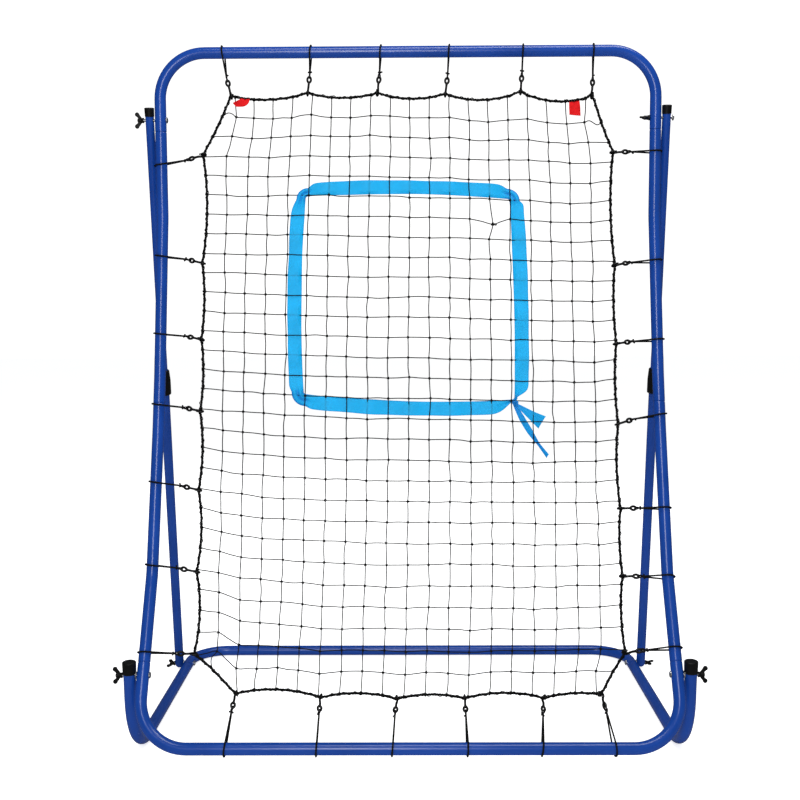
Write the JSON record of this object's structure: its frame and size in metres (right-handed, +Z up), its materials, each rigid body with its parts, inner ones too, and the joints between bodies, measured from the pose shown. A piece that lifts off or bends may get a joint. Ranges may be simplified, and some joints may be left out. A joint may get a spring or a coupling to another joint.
{
  "type": "pitch back rebounder",
  "caption": "Upright tubular steel frame on a U-shaped floor base, leaned on two telescopic rear struts, with a knotted net and square ribbon target hung on elastic ties.",
  "frame": {"origin": "on the floor, under the middle of the whole object's box", "axes": "+Z up, +X to the right as seen from the front, +Y from the net frame back to the struts"},
  "size_m": [1.2676, 0.7986, 1.5229],
  "materials": {
    "blue_powder_coat": "smooth powder coat, semi-gloss",
    "zinc_steel": "bright zinc plate",
    "black_plastic": "fine moulded texture",
    "net_twine": "knotted polyester twine",
    "border_rope": "twisted rope",
    "target_ribbon": "non-woven ribbon",
    "red_tag": "satin label tape",
    "elastic_cord": "braided elastic cord",
    "crimp_metal": "pressed metal"
  },
  "bodies": {
    "base": {"base_rear_bow": "blue_powder_coat", "base_side_tube_left": "blue_powder_coat", "base_side_tube_right": "blue_powder_coat", "base_cap_left": "black_plastic", "base_cap_right": "black_plastic", "pivot_bolt_left": "zinc_steel", "pivot_bolt_right": "zinc_steel", "pivot_spacer_left": "zinc_steel", "pivot_spacer_right": "zinc_steel", "rear_bolt_left": "zinc_steel", "rear_bolt_right": "zinc_steel", "rear_spacer_left": "zinc_steel", "rear_spacer_right": "zinc_steel"},
    "net_frame": {"top_bow": "blue_powder_coat", "upper_side_tube_left": "blue_powder_coat", "upper_side_tube_right": "blue_powder_coat", "lower_side_tube_left": "blue_powder_coat", "lower_side_tube_right": "blue_powder_coat", "bottom_bow": "blue_powder_coat", "net_mesh": "net_twine", "border_rope": "border_rope", "target_ribbon": "target_ribbon", "net_tag_left": "red_tag", "net_tag_right": "red_tag", "elastic_cords_top": "elastic_cord", "elastic_cords_bottom": "elastic_cord", "elastic_cords_left": "elastic_cord", "elastic_cords_right": "elastic_cord", "cord_crimps": "crimp_metal", "cord_hooks": "black_plastic", "top_bolt_left": "zinc_steel", "top_bolt_right": "zinc_steel"},
    "strut_lower_left": {"strut_outer_tube_left": "blue_powder_coat", "strut_collet_left": "black_plastic"},
    "strut_upper_left": {"strut_inner_tube_left": "blue_powder_coat", "strut_cap_left": "black_plastic"},
    "collar_left": {"twist_collar_left": "black_plastic"},
    "strut_lower_right": {"strut_outer_tube_right": "blue_powder_coat", "strut_collet_right": "black_plastic"},
    "strut_upper_right": {"strut_inner_tube_right": "blue_powder_coat", "strut_cap_right": "black_plastic"},
    "collar_right": {"twist_collar_right": "black_plastic"},
    "top_nut_left": {"top_wing_nut_left": "black_plastic"},
    "pivot_nut_left": {"pivot_wing_nut_left": "black_plastic"},
    "rear_nut_left": {"rear_wing_nut_left": "black_plastic"},
    "top_nut_right": {"top_wing_nut_right": "black_plastic"},
    "pivot_nut_right": {"pivot_wing_nut_right": "black_plastic"},
    "rear_nut_right": {"rear_wing_nut_right": "black_plastic"}
  },
  "joints": [
    {"name": "frame_tilt", "type": "hinge", "parent": "base", "child": "net_frame", "pos_m": [0, -0.31237, 0.1935], "axis": [-1, 0, 0], "range_deg": [0, 15]},
    {"name": "strut_swing_left", "type": "hinge", "parent": "base", "child": "strut_lower_left", "pos_m": [-0.6026, 0.28463, 0.0127], "axis": [-1, 0, 0], "range_deg": [0, 12.5]},
    {"name": "strut_slide_left", "type": "slide", "parent": "strut_lower_left", "child": "strut_upper_left", "axis": [-0.0205, 0.2172, -0.9759], "range_m": [0, 0.152]},
    {"name": "collar_twist_left", "type": "hinge", "parent": "strut_lower_left", "child": "collar_left", "pos_m": [-0.58673, 0.1163, 0.76903], "axis": [0.0205, -0.2172, 0.9759], "range_deg": [0, 90]},
    {"name": "strut_swing_right", "type": "hinge", "parent": "base", "child": "strut_lower_right", "pos_m": [0.6026, 0.28463, 0.0127], "axis": [-1, 0, 0], "range_deg": [0, 12.5]},
    {"name": "strut_slide_right", "type": "slide", "parent": "strut_lower_right", "child": "strut_upper_right", "axis": [0.0205, 0.2172, -0.9759], "range_m": [0, 0.152]},
    {"name": "collar_twist_right", "type": "hinge", "parent": "strut_lower_right", "child": "collar_right", "pos_m": [0.58673, 0.1163, 0.76903], "axis": [-0.0205, -0.2172, 0.9759], "range_deg": [0, 90]},
    {"name": "top_nut_left_spin", "type": "hinge", "parent": "net_frame", "child": "top_nut_left", "pos_m": [-0.586, -0.01534, 1.36051], "axis": [1, 0, 0], "continuous": true},
    {"name": "pivot_nut_left_spin", "type": "hinge", "parent": "base", "child": "pivot_nut_left", "pos_m": [-0.592, -0.31237, 0.1935], "axis": [1, 0, 0], "continuous": true},
    {"name": "rear_nut_left_spin", "type": "hinge", "parent": "base", "child": "rear_nut_left", "pos_m": [-0.616, 0.28463, 0.0127], "axis": [1, 0, 0], "continuous": true},
    {"name": "top_nut_right_spin", "type": "hinge", "parent": "net_frame", "child": "top_nut_right", "pos_m": [0.535, -0.01534, 1.36051], "axis": [1, 0, 0], "continuous": true},
    {"name": "pivot_nut_right_spin", "type": "hinge", "parent": "base", "child": "pivot_nut_right", "pos_m": [0.592, -0.31237, 0.1935], "axis": [1, 0, 0], "continuous": true},
    {"name": "rear_nut_right_spin", "type": "hinge", "parent": "base", "child": "rear_nut_right", "pos_m": [0.616, 0.28463, 0.0127], "axis": [1, 0, 0], "continuous": true}
  ],
  "couplings": [
    {"joint": "strut_swing_left", "follows": "frame_tilt", "ratio": 0.8051},
    {"joint": "strut_slide_left", "follows": "frame_tilt", "m_per_rad": 0.5671},
    {"joint": "strut_swing_right", "follows": "frame_tilt", "ratio": 0.8051},
    {"joint": "strut_slide_right", "follows": "frame_tilt", "m_per_rad": 0.5671}
  ]
}
